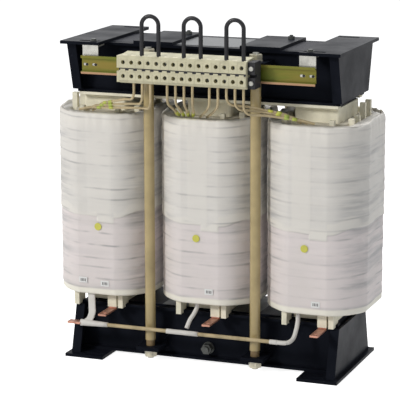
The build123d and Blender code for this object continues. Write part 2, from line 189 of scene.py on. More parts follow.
# plain finishes: the slot or finish, then its look
finishes = {
    "black_paint": {"name": "blackPaint", "colour": (0.0085, 0.0098, 0.0145), "spread": 0.3,
                    "rough": 0.34, "dustScale": 12.0, "specular": 0.022,
                    "gloss": (0.72, 0.82, 1.0)},
    "cream_board": {"name": "creamBoard", "colour": (0.86, 0.82, 0.66), "spread": 0.18,
                    "rough": 0.75, "dustScale": 30.0, "grain": 500.0},
    "inner_tape": {"name": "innerTape", "colour": (0.62, 0.58, 0.48), "spread": 0.25,
                   "rough": 0.8, "weave": 700.0},
    "tan_tube": {"name": "tanTube", "colour": (0.42, 0.325, 0.15), "spread": 0.2,
                 "rough": 0.38, "dustScale": 18.0, "coat": 0.2},
    "zinc": {"name": "brightZinc", "colour": (0.44, 0.435, 0.40), "spread": 0.35,
             "rough": 0.32, "metal": 0.5, "dustScale": 60.0},
    "creamZinc": {"name": "creamZinc", "colour": (0.60, 0.56, 0.44), "spread": 0.35,
                  "rough": 0.36, "metal": 0.35, "dustScale": 80.0},
    "collarBrown": {"name": "collarBrown", "colour": (0.20, 0.135, 0.06), "spread": 0.3,
                    "rough": 0.5, "dustScale": 60.0},
    # dark zinc bolts and nuts; on the terminal screws the darkness is also painted shade of their
    # holes
    "dullZinc": {"name": "dullZinc", "colour": (0.09, 0.095, 0.09), "spread": 0.3,
                 "rough": 0.4, "metal": 0.4, "dustScale": 90.0, "specular": 0.25},
    "terminal_plastic": {"name": "terminalPlastic", "colour": (0.60, 0.565, 0.39), "spread": 0.12,
                         "rough": 0.45, "dustScale": 40.0},
    "grey_plastic": {"name": "greyPlastic", "colour": (0.028, 0.028, 0.032), "spread": 0.2,
                     "rough": 0.5, "specular": 0.2},
    "black_cord": {"name": "blackCord", "colour": (0.012, 0.012, 0.015), "spread": 0.2,
                   "rough": 0.32, "coat": 0.06, "specular": 0.25},
    "tan_sleeve": {"name": "tanSleeve", "colour": (0.50, 0.405, 0.235), "spread": 0.25,
                   "rough": 0.6, "dustScale": 45.0, "weave": 1500.0},
    "copper": {"name": "copperBar", "colour": (0.50, 0.25, 0.18), "spread": 0.3,
               "rough": 0.4, "metal": 0.6, "dustScale": 80.0},
    "whiteSleeve": {"name": "whiteSleeve", "colour": (0.76, 0.74, 0.70), "spread": 0.1,
                    "rough": 0.65, "weave": 1200.0},
    "dotYellow": {"name": "dotYellow", "colour": (0.62, 0.60, 0.10), "spread": 0.1,
                  "rough": 0.5},
    "labelWhite": {"name": "labelWhite", "colour": (0.86, 0.86, 0.85), "spread": 0.03,
                   "rough": 0.5},
    "labelInk": {"name": "labelInk", "colour": (0.05, 0.05, 0.05), "spread": 0.1,
                 "rough": 0.6},
    "markerGreen": {"name": "markerGreen", "colour": (0.62, 0.60, 0.08), "spread": 0.15,
                    "rough": 0.5, "dusty": (0.30, 0.42, 0.10)},
}


surfaceBump = {"weave": 0.35, "grain": 0.4, "tape": 0.25, "deep": 0.0002}


def plainMaterial(name, colour, spread, rough, metal=0.0, dustScale=25.0, coat=0.0, grain=None,
                  weave=None, specular=0.5, dusty=None, gloss=(1.0, 1.0, 1.0)):
    material, tree, shader = newSurface(
        name, Metallic=metal, Coat_Weight=coat, Coat_Roughness=0.2,
        Specular_IOR_Level=specular, Specular_Tint=(*gloss, 1.0))
    dust = useGroup(tree, dustGroup, Scale=dustScale, Amount=1.0)
    dark = dusty or tuple(c * (1 - spread) for c in colour)
    light = tuple(min(1.0, c * (1 + spread * 0.6)) for c in colour)
    wire(tree, mixColour(tree, dust, light, dark), shader.inputs["Base Color"])
    rougher = mapRange(tree, dust, max(0.05, rough - 0.06), min(1.0, rough + 0.08))
    wire(tree, rougher, shader.inputs["Roughness"])
    if weave:
        cloth = useGroup(tree, weaveGroup, Scale=weave)
        normal = bump(tree, cloth, surfaceBump["weave"], surfaceBump["deep"])
        wire(tree, normal, shader.inputs["Normal"])
    elif grain:
        speckle = setIn(addNode(tree, "ShaderNodeTexNoise"), Scale=grain, Detail=4.0)
        wire(tree, objectCoords(tree), speckle.inputs["Vector"])
        normal = bump(tree, speckle.outputs["Fac"], surfaceBump["grain"], surfaceBump["deep"])
        wire(tree, normal, shader.inputs["Normal"])
    return material


def steelCoreMaterial():
    core = {"dark": (0.13, 0.135, 0.14), "light": (0.30, 0.305, 0.31), "metal": 0.3,
            "bump": 0.5, "deep": 0.0006,
            "paint": (0.022, 0.023, 0.03), "paintedFrom": 0.10}    # the yokes' ends are painted
    material, tree, shader = newSurface("coreSheets", Roughness=0.48, Specular_IOR_Level=0.1)
    sheets = useGroup(tree, streakGroup, Stretch=(6.0, 900.0, 6.0), Detail=3.0)
    split = addNode(tree, "ShaderNodeSeparateXYZ")
    wire(tree, objectCoords(tree), split.inputs[0])
    sideways = mathNode(tree, "ABSOLUTE", split.outputs["X"])
    painted = mathNode(tree, "GREATER_THAN", sideways, core["paintedFrom"])
    bare = mixColour(tree, sheets, core["dark"], core["light"])
    wire(tree, mixColour(tree, painted, bare, core["paint"]), shader.inputs["Base Color"])
    wire(tree, mapRange(tree, painted, core["metal"], 0.0), shader.inputs["Metallic"])
    wire(tree, bump(tree, sheets, core["bump"], core["deep"]), shader.inputs["Normal"])
    return material


def tapeMaterial():
    # seamShade: colour of the painted shade at the tape's steps, the upper wrap's edge and the hem
    tape = {"upper": (0.80, 0.775, 0.735), "lower": (0.82, 0.755, 0.745),
            "streak": (0.36, 0.365, 0.375), "soil": (0.66, 0.63, 0.58),
            "lightTapeAndHighlight": (0.83, 0.80, 0.745), "hem": (0.93, 0.90, 0.80), "seamShade": (0.33, 0.32, 0.325)}
    material, tree, shader = newSurface("windingTape", Roughness=0.62, Coat_Weight=0.12,
                                        Coat_Roughness=0.4, Specular_IOR_Level=0.35)
    marks = {}                                           # painted on the coil by makeWinding
    for label in ("seamShade", "lower", "hem", "lightTapeAndHighlight", "sideStreaks"):
        mark = addNode(tree, "ShaderNodeAttribute", attribute_name=label)
        marks[label] = mark.outputs["Fac"]
    dust = useGroup(tree, dustGroup, Scale=9.0, Amount=0.35)
    streak = useGroup(tree, streakGroup, Stretch=(5.0, 5.0, 55.0), Detail=5.0, Fineness=0.6)
    streaks = ramp(tree, streak, [(0.46, 0.0), (0.72, 0.8)])
    sideStreaks = mathNode(tree, "MULTIPLY", streaks, marks["sideStreaks"])
    colour = mixColour(tree, marks["lower"], tape["upper"], tape["lower"])
    # lightTapeAndHighlight mixes in the lighter tape strip and a painted highlight along the upper
    # wrap's lower edge
    for mask, label in ((sideStreaks, "streak"), (dust, "soil"), (marks["lightTapeAndHighlight"], "lightTapeAndHighlight"),
                        (marks["hem"], "hem"), (marks["seamShade"], "seamShade")):
        colour = mixColour(tree, mask, colour, tape[label])
    wire(tree, colour, shader.inputs["Base Color"])
    cloth = useGroup(tree, weaveGroup, Scale=700.0)
    normal = bump(tree, cloth, surfaceBump["tape"], surfaceBump["deep"])
    wire(tree, normal, shader.inputs["Normal"])
    return material


def railMaterial():
    rail = {"olive": (0.125, 0.15, 0.016), "gold": (0.215, 0.165, 0.03),
            "lip": (0.40, 0.235, 0.135), "lipHeight": 0.5705}
    material, tree, shader = newSurface("yellowZinc", Metallic=0.35, Roughness=0.36,
                                        Specular_IOR_Level=0.3)
    split = addNode(tree, "ShaderNodeSeparateXYZ")
    wire(tree, objectCoords(tree), split.inputs[0])
    cloud = useGroup(tree, streakGroup, Stretch=(9.0, 20.0, 60.0), Detail=3.0)
    lip = mathNode(tree, "LESS_THAN", split.outputs["Z"], rail["lipHeight"])
    patches = ramp(tree, cloud, [(0.35, 0.0), (0.7, 1.0)])
    face = mixColour(tree, patches, rail["olive"], rail["gold"])
    wire(tree, mixColour(tree, lip, face, rail["lip"]), shader.inputs["Base Color"])
    return material


materials = {finish: plainMaterial(**look) for finish, look in finishes.items()}
materials["core_steel"] = steelCoreMaterial()
materials["winding_tape"] = tapeMaterial()
materials["yellow_zinc"] = railMaterial()

# CAD nodes that look other than their slot
otherFinish = {
    "star_bar": "tan_sleeve", "tie_nuts": "creamZinc", "tie_collars": "collarBrown",
    "lower_yoke_boards": "black_paint", "upper_yoke_boards": "black_paint",
    "end_clamp_left": "terminal_plastic", "rail_screws": "dullZinc", "phase_wraps": "cream_board",
    "yoke_bolt": "dullZinc", "yoke_bolt_nuts": "dullZinc", "yoke_bolt_washers": "dullZinc",
}


def dress(obj, finish):
    obj.data.materials.clear()
    obj.data.materials.append(materials[finish])


for name, obj in nodes.items():
    dress(obj, otherFinish.get(name, slotOf[name]))
print("materials on", len(nodes), "CAD nodes")


# mesh helpers
def addMesh(name, verts, faces, slotName, finish, smooth=True):
    mesh = bpy.data.meshes.new(name)
    mesh.from_pydata([tuple(v) for v in verts], [], faces)
    mesh.validate()
    obj = bpy.data.objects.new(name, mesh)
    bpy.context.scene.collection.objects.link(obj)
    dress(obj, finish)
    mesh.polygons.foreach_set("use_smooth", [smooth] * len(mesh.polygons))
    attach(obj, "root")
    return obj


def ring(place, radius, sides, across, up):
    turns = [2 * math.pi * k / sides for k in range(sides)]
    return [place + radius * (math.cos(a) * across + math.sin(a) * up) for a in turns]


def stack(rings):                                        # rings joined up, closed at both ends
    around, last = len(rings[0]), len(rings) - 1
    faces = []
    for i in range(last):
        for k in range(around):
            low, high, m = i * around, (i + 1) * around, (k + 1) % around
            faces.append((low + k, low + m, high + m, high + k))
    faces.append(tuple(range(around))[::-1])
    faces.append(tuple(last * around + k for k in range(around)))
    return [point for points in rings for point in points], faces


def joined(pieces):
    verts, faces = [], []
    for pieceVerts, pieceFaces in pieces:
        faces += [tuple(len(verts) + i for i in face) for face in pieceFaces]
        verts += pieceVerts
    return verts, faces


def box(xs, ys, zs):
    sides = ((0, 2, 3, 1), (4, 5, 7, 6), (0, 1, 5, 4), (2, 6, 7, 3), (0, 4, 6, 2), (1, 3, 7, 5))
    return [(x, y, z) for z in zs for y in ys for x in xs], sides


def directionAt(points, i):
    return (points[min(i + 1, len(points) - 1)] - points[max(i - 1, 0)]).normalized()


def tube(name, points, radius, slotName, finish, sides=20, endRadius=None):
    points = [Vector(p) for p in points]
    rings = []
    for i, p in enumerate(points):
        direction = directionAt(points, i)
        side = direction.cross(Vector((0, 0, 1))).normalized()
        up = side.cross(direction).normalized()
        reach = radius + ((endRadius or radius) - radius) * i / (len(points) - 1)
        rings.append(ring(p, reach, sides, side, up))
    addMesh(name, *stack(rings[::-1]), slotName, finish)


# the taped coils
winding = {
    "halfX": 0.099, "halfY": 0.113, "radius": 0.062, "bottom": 0.128, "top": 0.488,
    "innerX": 0.071, "innerY": 0.089, "innerRadius": 0.028,
    "stepsX": 34, "stepsY": 46, "stepsCorner": 40, "rows": 215, "rimRows": 8,
    "rim": 0.004, "flatten": 0.0070,                     # rounding at both ends, corners drawn in
    "lip": 0.0055, "lipFrom": -0.085, "lipTo": -0.01,    # the upper rim rises towards the rear
    "lipWide": 0.0022, "lipWall": 0.001, "sink": 0.0005,
    "ragged": 0.0018, "raggedFront": 0.4,                # torn upper rim, calmer on the flats
    "pleat": 0.0011, "pleatFrom": 0.045, "pleatTo": 0.008,
    "swell": 0.0010, "grain": 0.00025,
    "fadeIn": (0.002, 0.014), "fadeOut": 0.012, "brightFrom": 0.05, "brightTo": 0.01,
}
unevenness = {                                           # noise scale round the coil and up it
    "wander": 14, "torn": 55, "tornFine": 170,
    "soft": (22, 30), "fine": (60, 160), "pleats": (95, 9),
}
# painted shade under each tape turn's step: shade, softShade, fineShade, darkest and wide set how
# dark and wide it is
tapeTurns = {
    "pitch": 0.0225, "step": 0.0008, "sag": 0.0045, "lift": 0.003, "wander": 0.002,
    "wide": 0.0014, "shade": 0.26, "softShade": 0.75, "fineShade": 0.35, "darkest": 0.7,
    "front": {"left": 1.25, "middle": 0.85, "right": 0.45},        # how dark the painted seam shade is on the front
}
# the hem's band, with painted shade along its upper edge
hem = {"tall": 0.013, "low": 0.0035, "high": 0.001, "shade": 0.30, "wide": 0.002, "below": 0.0015}
# the upper wrap; shade and wide draw painted shade along its lower edge
upperWrap = {
    "edge": 0.290, "edgeRise": 0.009, "edgeSag": 0.004, "edgeWander": 0.003, "thick": 0.0013,
    # band keys: a painted highlight along the wrap's lower edge, partly its lighter single layer of
    # tape
    "shade": 0.32, "wide": 0.0013, "bandTall": 0.014, "bandFade": 0.004, "bandHighlight": 0.85,
    "tabFrom": 0.004, "tabTo": 0.038, "tabDepth": 0.011,           # the tape's end hangs lower here
}
frontStrips = {                                          # upright strip: from, to, brightness
    "left": (-0.012, 0.034, 0.30), "middle": (-0.022, 0.016, 0.55), "right": (-0.027, 0.006, 0.70),
    "thick": 0.0006, "softEdge": 0.006, "hardEdge": 0.0012, "wander": 0.004,
}


def smoothStep(value, low, high):
    t = np.clip((value - low) / (high - low), 0, 1)
    return t * t * (3 - 2 * t)


def softLine(distance, wide):
    return np.exp(-(distance / wide) ** 2)


def noiseRound(loop, scale, level, shiftX=0.0, shiftY=0.0):
    return np.array([noise.noise(Vector((x * scale + shiftX, y * scale + shiftY, level)))
                     for x, y in loop])


def roundedLoop(halfX, halfY, radius):
    points, normals, turns = [], [], []                  # turns: 0 on a flat, 0 to 1 round a corner
    corners = [(1, -1, -90), (1, 1, 0), (-1, 1, 90), (-1, -1, 180)]
    arc, straightX, straightY = winding["stepsCorner"], winding["stepsX"], winding["stepsY"]
    for (sx, sy, startAngle), count in zip(corners, (straightY, straightX) * 2):
        cx, cy = sx * (halfX - radius), sy * (halfY - radius)
        for k in range(arc + 1):
            angle = math.radians(startAngle + 90 * k / arc)
            c, s = math.cos(angle), math.sin(angle)
            place = (cx + radius * c, cy + radius * s)
            if k < arc:
                points.append(place)
                normals.append((c, s))
                turns.append(k / arc)
        run = 2 * (halfY - radius) if abs(c) > 0.5 else 2 * (halfX - radius)
        for k in range(count):
            points.append((place[0] - s * run * k / count, place[1] + c * run * k / count))
            normals.append((c, s))
            turns.append(0.0)
    return np.array(points), np.array(normals), np.array(turns)


def coilPattern(side, seed, outer, normals):             # what changes round the coil but not up it
    w, t, u, s = winding, tapeTurns, upperWrap, frontStrips
    angles = np.arctan2(outer[:, 1], outer[:, 0])
    lobe = 0.5 + 0.5 * np.cos(2 * (angles + math.pi / 2))    # 1 in front and behind, 0 at the sides
    sideways = smoothStep(np.abs(normals[:, 0]), 0.10, 0.80)  # 0 on the flats, 1 on the sides
    wander = noiseRound(outer, unevenness["wander"], 0.3, seed * 3.1)
    rng = random.Random(seed)
    count = int((w["top"] - w["bottom"]) / t["pitch"]) + 2
    sags = [t["sag"] * rng.uniform(0.3, 1.5) for _ in range(count)]
    lifts = [rng.uniform(-t["lift"], t["lift"]) for _ in range(count)]
    seams = [w["bottom"] + hem["tall"] + k * t["pitch"]
             + (lifts[k] - sags[k] * lobe + t["wander"] * wander) * (k > 0) for k in range(count)]
    front = (outer[:, 1] < 0) & (np.abs(normals[:, 1]) > 0.7)
    tab = front & (outer[:, 0] > u["tabFrom"]) & (outer[:, 0] < u["tabTo"])
    edge = u["edge"] - u["edgeSag"] * lobe + u["edgeWander"] * wander \
        - np.where(tab, u["tabDepth"], 0) \
        + u["edgeRise"] * sideways * np.where(normals[:, 0] > 0, 1.0, 0.2)
    stripFrom, stripTo, stripShade = s[side]
    leftSide = smoothStep(outer[:, 0] + s["wander"] * wander, stripFrom - s["softEdge"], stripFrom)
    rightSide = 1 - smoothStep(outer[:, 0], stripTo - s["hardEdge"], stripTo)
    torn = noiseRound(outer, unevenness["torn"], 2.0, seed) \
        + 0.6 * noiseRound(outer, unevenness["tornFine"], 5.0, 0, seed)
    rise = w["ragged"] * torn * (w["raggedFront"] + sideways) \
        + w["lip"] * smoothStep(outer[:, 1], w["lipFrom"], w["lipTo"])
    return {
        "seed": seed, "seams": np.array(seams), "edge": edge, "sideways": sideways, "rise": rise,
        "strip": np.where(outer[:, 1] < 0, leftSide * rightSide, 0), "stripShade": stripShade,
        "frontSeamShade": t["front"][side],
    }


def tapedRow(pattern, outer, turns, height):             # relief and marks at one height
    w, t, u = winding, tapeTurns, upperWrap
    seed, seams, edge, sideways = (pattern[key] for key in ("seed", "seams", "edge", "sideways"))
    level, column = np.full(len(outer), height), np.arange(len(outer))
    fadeFrom, fadeTo = (w["bottom"] + above for above in w["fadeIn"])
    fade = smoothStep(level, fadeFrom, fadeTo) \
        * (1 - smoothStep(level, w["top"] - w["fadeOut"], w["top"]))
    under = (level[None, :] >= seams).sum(axis=0) - 1
    k = np.clip(under, 0, len(seams) - 2)
    below, above = seams[k, column], seams[k + 1, column]
    climb = np.clip((level - below) / np.maximum(above - below, 1e-4), 0, 1)
    saw = np.where(under < 0, 0.2, 1 - climb)            # each turn is thickest at its lower edge
    scales = [unevenness[key] for key in ("soft", "fine", "pleats")]
    soft, fine, pleats = (noiseRound(outer, scale, height * rise, seed) for scale, rise in scales)
    wrapped = smoothStep(level, edge - 0.0012, edge + 0.0006)
    strip = pattern["strip"] * wrapped
    bared = 1 - pattern["stripShade"] * strip            # the strip hides the turns under it
    shift = fade * (t["step"] * saw * (0.45 + 0.55 * sideways) * bared
                    + w["swell"] * soft + w["grain"] * fine)
    shift = shift - w["flatten"] * np.sin(math.pi * turns) * (1 + 0.3 * soft)
    shift = shift + u["thick"] * wrapped + frontStrips["thick"] * strip
    shift = shift + w["pleat"] * pleats \
        * smoothStep(level, w["top"] - w["pleatFrom"], w["top"] - w["pleatTo"])

    # painted shade under each tape step, along the upper wrap's edge and above the hem
    near = np.abs(level[None, :] - seams - 0.0006).min(axis=0)
    shade = t["shade"] + t["softShade"] * soft + t["fineShade"] * fine
    seamShade = softLine(near, t["wide"]) * np.clip(shade, 0.02, t["darkest"]) * fade * bared \
        * (pattern["frontSeamShade"] + (1 - pattern["frontSeamShade"]) * sideways) * (1.15 - 0.2 * wrapped)
    seamShade = np.maximum(seamShade, u["shade"] * softLine(level - edge + 0.001, u["wide"]) * (0.6 + soft))
    hemLine = w["bottom"] + hem["tall"] + 0.001
    hemStepShade = hem["shade"] * softLine(level - hemLine - hem["below"], hem["wide"]) * (0.7 + soft)
    # a painted highlight along the upper wrap's lower edge, partly the lighter single layer of tape
    # there; the strip is lighter tape, and the coil gets lighter towards its top
    wrapEdgeHighlight = wrapped * (1 - smoothStep(level, edge + u["bandTall"] * (0.75 + soft),
                                     edge + u["bandTall"] * (1 + soft) + u["bandFade"]))
    top = smoothStep(level, w["top"] - w["brightFrom"], w["top"] - w["brightTo"])
    return shift, {
        "seamShade": np.clip(np.maximum(seamShade, hemStepShade), 0, 1),
        "lower": 1 - wrapped,
        "hem": 1 - smoothStep(level, hemLine - hem["low"], hemLine + hem["high"]),
        "lightTapeAndHighlight": np.maximum(pattern["stripShade"] * strip, np.maximum(u["bandHighlight"] * wrapEdgeHighlight, top)),
    }


def coilProfile():                                       # loop blend, offset outwards, height, kind
    w = winding
    rim, low, high = w["rim"], w["bottom"] + w["rim"], w["top"] - w["rim"]
    profile = [(0.0, 0.0, w["bottom"], "plain"), (0.5, 0.0, w["bottom"], "plain")]
    for k in range(w["rimRows"]):
        a = math.pi / 2 * k / w["rimRows"]
        profile.append((1.0, -rim + rim * math.sin(a), low - rim * math.cos(a), "taped"))
    for k in range(w["rows"] + 1):
        profile.append((1.0, 0.0, low + (high - low) * k / w["rows"], "taped"))
    for k in range(1, w["rimRows"] + 1):
        a = math.pi / 2 * k / w["rimRows"]
        profile.append((1.0, -rim + rim * math.cos(a), high + rim * math.sin(a), "taped"))
    profile.append((1.0, -rim - w["lipWide"], w["top"], "lip"))
    profile.append((1.0, -rim - w["lipWide"] - w["lipWall"], w["top"] - w["sink"], "plain"))
    profile.append((0.6, 0.0, w["top"] - w["sink"], "plain"))
    profile.append((0.0, 0.0, w["top"] - w["sink"], "plain"))
    profile.append((0.0, 0.0, (w["top"] + w["bottom"]) / 2, "plain"))
    return profile


def makeWinding(side, seed):
    w = winding
    outer, normals, turns = roundedLoop(w["halfX"], w["halfY"], w["radius"])
    inner = roundedLoop(w["innerX"], w["innerY"], w["innerRadius"])[0]
    around, high = len(outer), w["top"] - w["rim"]
    pattern = coilPattern(side, seed, outer, normals)
    # grey streaks, stronger on the curved sides
    sideStreaks = 0.22 + 0.78 * pattern["sideways"]
    profile, verts, marks = coilProfile(), [], {}
    for blend, offset, height, kind in profile:
        shift, level = offset, np.full(around, height)
        rowMarks = {label: np.zeros(around) for label in ("seamShade", "lower", "hem", "lightTapeAndHighlight")}
        if kind == "taped":
            relief, rowMarks = tapedRow(pattern, outer, turns, height)
            shift = shift + relief[:, None]
            level = level + pattern["rise"] * max(0.0, height - high) / w["rim"]
        elif kind == "lip":
            level = level + pattern["rise"]
            rowMarks["lightTapeAndHighlight"] = np.ones(around)
        place = inner * (1 - blend) + outer * blend + normals * shift
        verts.append(np.column_stack([place[:, 0] + coilCentres[side], place[:, 1], level]))
        for label, values in {**rowMarks, "sideStreaks": sideStreaks}.items():
            marks.setdefault(label, []).append(values)
    faces, total = [], len(profile)
    for i in range(total):
        row, nextRow = i * around, (i + 1) % total * around
        for k in range(around):
            m = (k + 1) % around
            faces.append((row + k, row + m, nextRow + m, nextRow + k))
    verts = np.concatenate(verts)
    obj = addMesh(f"tapedWinding_{side}", verts, faces, "winding_tape", "winding_tape")
    for label, values in marks.items():
        attribute = obj.data.attributes.new(label, "FLOAT", "POINT")
        attribute.data.foreach_set("value", np.concatenate(values))
    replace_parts(obj, f"outer_winding_{side}")


for index, side in enumerate(coilCentres):
    makeWinding(side, index + 3)
print("windings taped")

# dots and labels on the coils: coil, way round from its front middle, height
stickers = {
    "dots": [("left", 0.005, 0.265), ("middle", -0.007, 0.258), ("right", -0.006, 0.256)],
    "labels": [("left", -0.028, 0.156), ("left", 0.018, 0.152), ("middle", 0.019, 0.155),
               ("right", 0.017, 0.150)],
    "dotSize": 0.0145, "labelWide": 0.017, "labelTall": 0.0115, "lift": 0.0017, "thick": 0.0006,
    "bars": (-0.0045, -0.0015, 0.0015, 0.0045), "barWide": 0.0013, "barTall": 0.0055,
    "barLift": 0.0021, "roundSteps": 28, "flatSteps": 14,
}


def surfacePoint(centre, along, height, lift):
    w = winding
    flat, distance, sign = w["halfX"] - w["radius"], abs(along), 1 if along >= 0 else -1
    lift = lift + (upperWrap["thick"] if height > upperWrap["edge"] else 0)
    if distance <= flat:
        return Vector((centre + along, -w["halfY"] - lift, height))
    angle, reach = (distance - flat) / w["radius"], w["radius"] + lift
    return Vector((centre + sign * (flat + reach * math.sin(angle)),
                   w["radius"] - w["halfY"] - reach * math.cos(angle), height))


def patch(name, side, along, height, wide, tall, finish, lift):
    if tall:
        steps = stickers["flatSteps"]
        loop = [(-wide / 2 + wide * k / steps, -tall / 2) for k in range(steps + 1)]
        loop += [(x, tall / 2) for x, _ in reversed(loop)]
    else:                                                # no height: a round dot
        steps = stickers["roundSteps"]
        turns = [2 * math.pi * k / steps for k in range(steps)]
        loop = [(wide / 2 * math.cos(a), wide / 2 * math.sin(a)) for a in turns]
    centre, total = coilCentres[side], len(loop)
    verts, faces = stack([[surfacePoint(centre, along + dx, height + dz, reach) for dx, dz in loop]
                          for reach in (lift - stickers["thick"], lift)])
    if tall:                                             # short faces follow the coil's bend
        faces = faces[:-2]
        for k in range(steps):
            quad = (k, k + 1, total - 2 - k, total - 1 - k)
            faces += [quad[::-1], tuple(total + i for i in quad)]
    addMesh(name, verts, faces, "winding_tape", finish, smooth=False)


for index, (side, along, height) in enumerate(stickers["dots"]):
    patch(f"dot_{index + 1}", side, along, height, stickers["dotSize"], 0, "dotYellow",
          stickers["lift"])
for index, (side, along, height) in enumerate(stickers["labels"]):
    patch(f"label_{index + 1}", side, along, height, stickers["labelWide"], stickers["labelTall"],
          "labelWhite", stickers["lift"])
    for bar in stickers["bars"]:
        barName = f"labelMark_{index + 1}_{bar * 1e4:.0f}".replace("-", "m")
        patch(barName, side, along + bar, height, stickers["barWide"], stickers["barTall"],
              "labelInk", stickers["barLift"])
print("stickers placed")

# star connection: sleeves on the bar, then the strap and the two sleeved taps down to it
star = {"y": -0.121, "z": 0.071, "radius": 0.0046, "steps": 6,
        "sleeves": [(-0.247, -0.190, 0.0066), (-0.066, -0.001, 0.0048), (0.145, 0.1602, 0.0046)]}
taps = {
    "strapWide": 0.0145, "strapThick": 0.0040, "radius": 0.0042, "sides": 28, "steps": 8,
    "strap": [(-0.2317, -0.103, 0.1285), (-0.2305, -0.104, 0.100), (-0.2285, -0.109, 0.088),
              (-0.231, -0.117, 0.077), (-0.236, -0.1205, 0.0735)],
    "middle": [(-0.013, -0.093, 0.1278), (-0.0135, -0.0935, 0.116), (-0.0175, -0.1, 0.104),
               (-0.0225, -0.107, 0.094), (-0.026, -0.117, 0.0795)],
    "right": [(0.192, -0.093, 0.1278), (0.192, -0.0945, 0.108), (0.1905, -0.1, 0.092),
              (0.188, -0.1085, 0.0785), (0.182, -0.117, 0.0725), (0.172, -0.1205, 0.071),
              (0.1602, -0.121, 0.071)],
}


def smoothPath(points):
    points = [Vector(p) for p in points]
    padded = [2 * points[0] - points[1], *points, 2 * points[-1] - points[-2]]
    path = []
    for a, b, c, d in zip(padded, padded[1:], padded[2:], padded[3:]):
        for k in range(taps["steps"]):
            t = k / taps["steps"]
            path.append(0.5 * (2 * b + (c - a) * t + (2 * a - 5 * b + 4 * c - d) * t * t
                               + (3 * b - a - 3 * c + d) * t ** 3))
    return path + [points[-1]]


def tapPiece(points, wide, thick, power):                # power 2 is round, more is a flat strap
    path, rings = smoothPath(points), []
    for i, p in enumerate(path):
        direction = directionAt(path, i)
        across = Vector((1, 0, 0)) - direction * direction.x
        if across.length <= 0.35:                        # where the tap runs sideways
            across = Vector((0, -1, 0)).cross(direction)
        across = across.normalized()
        deep = direction.cross(across).normalized()
        loop = []
        for k in range(taps["sides"]):
            a = 2 * math.pi * k / taps["sides"]
            c, d = (math.copysign(abs(v) ** (2 / power), v) for v in (math.cos(a), math.sin(a)))
            loop.append(p + wide / 2 * c * across + thick / 2 * d * deep)
        rings.append(loop)
    return stack(rings)


tapWide = 2 * taps["radius"]
tapMesh = joined([tapPiece(taps["strap"], taps["strapWide"], taps["strapThick"], 4.0),
                  tapPiece(taps["middle"], tapWide, tapWide, 2.0),
                  tapPiece(taps["right"], tapWide, tapWide, 2.0)])
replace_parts(addMesh("starTapSleeves", *tapMesh, slotOf["star_taps"], "whiteSleeve"), "star_taps")
for index, (x0, x1, radius) in enumerate(star["sleeves"]):
    stops = [x0 + (x1 - x0) * k / star["steps"] for k in range(star["steps"] + 1)]
    tube(f"starSleeve_{index + 1}", [(x, star["y"], star["z"]) for x in stops], radius,
         "winding_tape", "whiteSleeve", endRadius=star["radius"])
print("star connection sleeved")

# terminal screws, sunk to slightly different depths; their dark zinc is partly painted shade for
# the holes they sit in
terminal = {"first": -0.1285, "pitch": 0.0168, "count": 15, "front": -0.175, "top": 0.6098,
            "screwRows": (0.5995, 0.5735), "screwRadius": 0.0036, "screwTall": 0.002,
            "screwSides": 20, "screwDepth": 0.006, "screwSpread": 0.011}
xAxis, yAxis, zAxis = Vector((1, 0, 0)), Vector((0, 1, 0)), Vector((0, 0, 1))


def terminalX(k):
    return terminal["first"] + k * terminal["pitch"]


def terminalScrew(x, z):
    y = terminal["front"] + terminal["screwDepth"] + terminal["screwSpread"] * random.random()
    radius, sides = terminal["screwRadius"], terminal["screwSides"]
    return stack([ring(Vector((x, depth, z)), radius, sides, xAxis, zAxis)
                  for depth in (y + terminal["screwTall"], y)])


centres = [terminalX(k) for k in range(terminal["count"])]
screws = joined([terminalScrew(x, z) for x in centres for z in terminal["screwRows"]])
addMesh("terminalScrews", *screws, "zinc", "dullZinc", smooth=False)

# near-black screw heads in the rail's slots, as painted shade in the slots: rings from the rail
# outwards, y and radius
railSlots = {"x": (-0.224, -0.206, 0.210, 0.228), "z": 0.584, "sides": 16,
             "rings": ((-0.1252, 0.0024), (-0.1266, 0.0024), (-0.1272, 0.0012))}
slotScrewShade = joined([
    stack([ring(Vector((x, y, railSlots["z"])), radius, railSlots["sides"], xAxis, zAxis)
           for y, radius in railSlots["rings"]]) for x in railSlots["x"]])
addMesh("railSlotScrewShade", *slotScrewShade, "grey_plastic", "grey_plastic")

# near-black strip between the two rows of screws as painted shade in the groove there, with teeth
# over it; marker tabs on top, with near-black boxes as painted shade of their slots
strip = {"low": 0.5842, "high": 0.5886, "endGap": 0.0006, "proud": 0.0003, "deep": 0.001,
         "toothWide": 0.0092, "toothHigh": 0.0026, "toothProud": 0.0012, "toothLow": 0.0004,
         "toothSpread": 0.0006, "tabWide": 0.0088, "tabHigh": 0.0022, "tabFrom": -0.1665,
         "tabTo": -0.1605, "slotGap": 0.0012, "slotHigh": 0.0005, "slotTo": -0.1580}
front, half = terminal["front"], terminal["pitch"] / 2


def terminalBoxes(name, spans, finish):
    verts, faces = joined([box(*span) for span in spans])
    addMesh(name, verts, faces, "terminal_plastic", finish, smooth=False)


